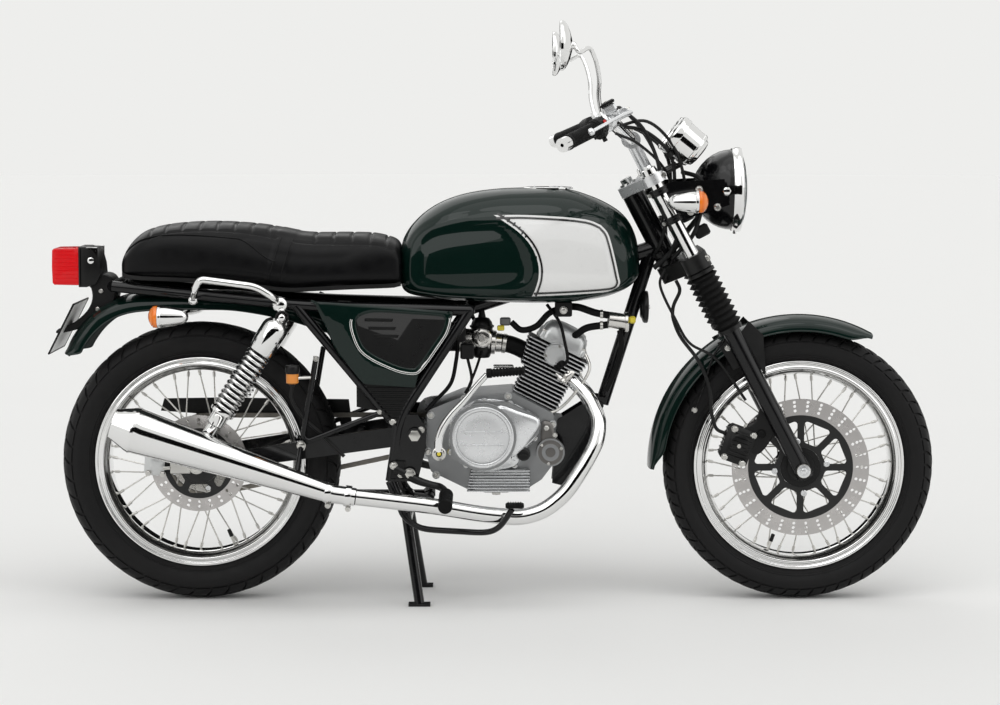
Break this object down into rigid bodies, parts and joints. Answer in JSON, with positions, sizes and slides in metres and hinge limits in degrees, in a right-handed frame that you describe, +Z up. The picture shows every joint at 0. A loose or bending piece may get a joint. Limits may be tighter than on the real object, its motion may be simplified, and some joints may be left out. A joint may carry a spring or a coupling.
{
  "type": "cafe racer motorcycle",
  "caption": "Light single-cylinder road motorcycle with a long fuel tank, ribbed seat, wire-spoked wheels, round headlamp, megaphone silencer and centre stand.",
  "frame": {"origin": "on the ground below the middle of the overall length and width", "axes": "+X points forward, +Y to the rider's left, +Z up"},
  "size_m": [1.9559, 0.803, 1.2714],
  "materials": {
    "tyre": "matt",
    "rim_chrome": "polished",
    "hub_alloy": "satin",
    "disc_steel": "brushed",
    "slider_black": "gloss",
    "polished_steel": "polished",
    "gaiter_rubber": "matt",
    "yoke_black": "satin",
    "cast_alloy": "satin",
    "chrome": "polished",
    "lamp_glass": "clear",
    "green_paint": "gloss",
    "frame_black": "gloss",
    "grip_rubber": "matt",
    "lever_alloy": "satin",
    "hose_rubber": "matt",
    "seat_leather": "grained",
    "lamp_plastic": "gloss",
    "box_plastic": "matt",
    "chain_steel": "oiled"
  },
  "bodies": {
    "chassis": {"rear_axle": "polished_steel", "engine_block": "cast_alloy", "cylinder": "cast_alloy", "carburettor": "cast_alloy", "grab_rails": "chrome", "exhaust_pipe": "chrome", "muffler": "chrome", "shock_absorbers": "chrome", "rear_indicators": "chrome", "filler_cap": "chrome", "fuel_tank": "green_paint", "side_covers": "green_paint", "rear_guard": "green_paint", "backbone": "frame_black", "downtube": "frame_black", "seat_rails": "frame_black", "side_frames": "frame_black", "rear_side_tubes": "frame_black", "swingarm": "frame_black", "stand_bracket": "frame_black", "engine_plates": "frame_black", "tail_bracket": "frame_black", "chain_guard": "frame_black", "footrests": "frame_black", "foot_levers": "frame_black", "rear_brake": "lever_alloy", "seat": "seat_leather", "tail_lamp": "lamp_plastic", "air_box_and_battery": "box_plastic", "horn": "box_plastic", "chain": "chain_steel"},
    "steering_head": {"fork_sliders": "slider_black", "fork_stanchions": "polished_steel", "fork_gaiters": "gaiter_rubber", "lower_yoke": "yoke_black", "upper_yoke": "cast_alloy", "front_axle": "polished_steel", "front_guard": "green_paint", "headlamp_bowl": "chrome", "headlamp_glass": "lamp_glass", "headlamp_brackets": "yoke_black", "front_indicators": "chrome", "instruments": "chrome", "handlebar": "chrome", "grips_and_switches": "grip_rubber", "levers": "lever_alloy", "mirrors": "chrome", "front_caliper": "lever_alloy", "brake_hose": "hose_rubber"},
    "front_wheel": {"front_tyre": "tyre", "front_rim": "rim_chrome", "front_hub": "hub_alloy", "front_disc": "disc_steel"},
    "rear_wheel": {"rear_tyre": "tyre", "rear_rim": "rim_chrome", "rear_hub": "hub_alloy", "rear_disc": "disc_steel"},
    "centre_stand": {"centre_stand": "frame_black"},
    "side_stand": {"side_stand": "frame_black"}
  },
  "joints": [
    {"name": "steering", "type": "hinge", "parent": "chassis", "child": "steering_head", "pos_m": [0.40408, 0, 0.71698], "axis": [-0.4617, 0, 0.887], "range_deg": [-35, 35]},
    {"name": "front_wheel_spin", "type": "hinge", "parent": "steering_head", "child": "front_wheel", "pos_m": [0.677, 0, 0.301], "axis": [0, 1, 0], "continuous": true},
    {"name": "rear_wheel_spin", "type": "hinge", "parent": "chassis", "child": "rear_wheel", "pos_m": [-0.653, 0, 0.31], "axis": [0, 1, 0], "continuous": true},
    {"name": "centre_stand_fold", "type": "hinge", "parent": "chassis", "child": "centre_stand", "pos_m": [-0.198, 0, 0.218], "axis": [0, 1, 0], "range_deg": [0, 78]},
    {"name": "side_stand_fold", "type": "hinge", "parent": "chassis", "child": "side_stand", "pos_m": [-0.15, 0.146, 0.212], "axis": [0, -0.8, -0.6], "range_deg": [0, 90]}
  ]
}
